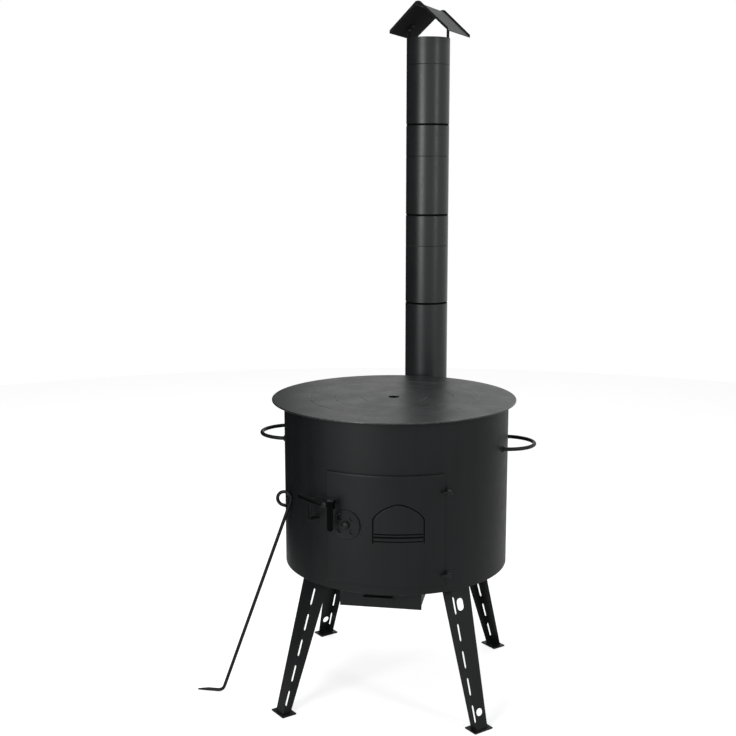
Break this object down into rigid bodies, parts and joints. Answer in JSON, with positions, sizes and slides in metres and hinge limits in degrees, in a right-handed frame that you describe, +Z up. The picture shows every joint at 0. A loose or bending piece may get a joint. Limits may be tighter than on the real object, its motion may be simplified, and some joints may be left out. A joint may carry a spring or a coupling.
{
  "type": "kazan stove",
  "caption": "Outdoor barrel stove on splayed perforated legs, with a curved fire door, ash drawer, ringed hob plate, side handles and a stacked chimney with a gable cap.",
  "frame": {"origin": "middle of the bounding box, on the ground", "axes": "+Z up; the fire door and the ash drawer face -Y; the poker leans at the -X side; the chimney stands at +Y"},
  "size_m": [0.712, 0.6824, 1.4842],
  "materials": {
    "satin_black": "satin heat-resistant paint",
    "hob_black": "satin heat-resistant paint on thick plate",
    "raw_iron": "as cast",
    "bright_zinc": "bright zinc plate"
  },
  "bodies": {
    "stove": {"firebox_shell": "satin_black", "floor_pan": "satin_black", "ash_box": "satin_black", "flue_elbow": "satin_black", "leg_left_front": "satin_black", "leg_right_front": "satin_black", "leg_left_back": "satin_black", "leg_right_back": "satin_black", "foot_left_front": "satin_black", "foot_right_front": "satin_black", "foot_left_back": "satin_black", "foot_right_back": "satin_black", "handle_left": "satin_black", "handle_right": "satin_black", "hinge_lower": "satin_black", "hinge_upper": "satin_black", "latch_catch": "satin_black", "grate": "raw_iron", "bolt_left_front": "bright_zinc", "bolt_right_front": "bright_zinc", "bolt_left_back": "bright_zinc", "bolt_right_back": "bright_zinc", "nut_left_front": "bright_zinc", "nut_right_front": "bright_zinc", "nut_left_back": "bright_zinc", "nut_right_back": "bright_zinc"},
    "fire_door": {"door": "satin_black", "damper_knob": "satin_black", "latch_pivot": "satin_black"},
    "latch": {"latch": "satin_black"},
    "damper": {"damper_disc": "satin_black"},
    "drawer": {"ash_drawer": "satin_black", "drawer_pull": "satin_black"},
    "hob": {"hob_plate": "hob_black"},
    "outer_ring": {"ring_outer": "hob_black"},
    "inner_ring": {"ring_inner": "hob_black"},
    "lid": {"centre_lid": "hob_black"},
    "lower_pipe": {"chimney_lower": "satin_black"},
    "middle_pipe": {"chimney_middle": "satin_black"},
    "upper_pipe": {"chimney_upper": "satin_black"},
    "cap": {"cap_collar": "satin_black", "cap_roof": "satin_black", "cap_strut_left": "satin_black", "cap_strut_right": "satin_black"},
    "poker": {"poker": "satin_black"}
  },
  "joints": [
    {"name": "door_hinge", "type": "hinge", "parent": "stove", "child": "fire_door", "pos_m": [0.19436, -0.28651, 0.405], "axis": [0, 0, 1], "range_deg": [0, 110]},
    {"name": "latch_turn", "type": "hinge", "parent": "fire_door", "child": "latch", "pos_m": [-0.04936, -0.31435, 0.462], "axis": [0.4147, 0.91, 0], "range_deg": [0, 75]},
    {"name": "damper_turn", "type": "hinge", "parent": "fire_door", "child": "damper", "pos_m": [-0.00649, -0.31499, 0.4225], "axis": [-0.2622, -0.965, 0], "range_deg": [-45, 45]},
    {"name": "drawer_slide", "type": "slide", "parent": "stove", "child": "drawer", "axis": [0, -1, 0], "range_m": [0, 0.26]},
    {"name": "hob_lift", "type": "slide", "parent": "stove", "child": "hob", "axis": [0, 0, 1], "range_m": [0, 0.15]},
    {"name": "outer_ring_lift", "type": "slide", "parent": "hob", "child": "outer_ring", "axis": [0, 0, 1], "range_m": [0, 0.1]},
    {"name": "inner_ring_lift", "type": "slide", "parent": "outer_ring", "child": "inner_ring", "axis": [0, 0, 1], "range_m": [0, 0.1]},
    {"name": "lid_lift", "type": "slide", "parent": "inner_ring", "child": "lid", "axis": [0, 0, 1], "range_m": [0, 0.1]},
    {"name": "lower_pipe_lift", "type": "slide", "parent": "stove", "child": "lower_pipe", "axis": [0, 0, 1], "range_m": [0, 0.1]},
    {"name": "middle_pipe_lift", "type": "slide", "parent": "lower_pipe", "child": "middle_pipe", "axis": [0, 0, 1], "range_m": [0, 0.1]},
    {"name": "upper_pipe_lift", "type": "slide", "parent": "middle_pipe", "child": "upper_pipe", "axis": [0, 0, 1], "range_m": [0, 0.1]},
    {"name": "cap_lift", "type": "slide", "parent": "upper_pipe", "child": "cap", "axis": [0, 0, 1], "range_m": [0, 0.1]},
    {"name": "poker_lift", "type": "slide", "parent": "stove", "child": "poker", "axis": [-0.5, -0.5, 0.7071], "range_m": [0, 0.25]}
  ]
}
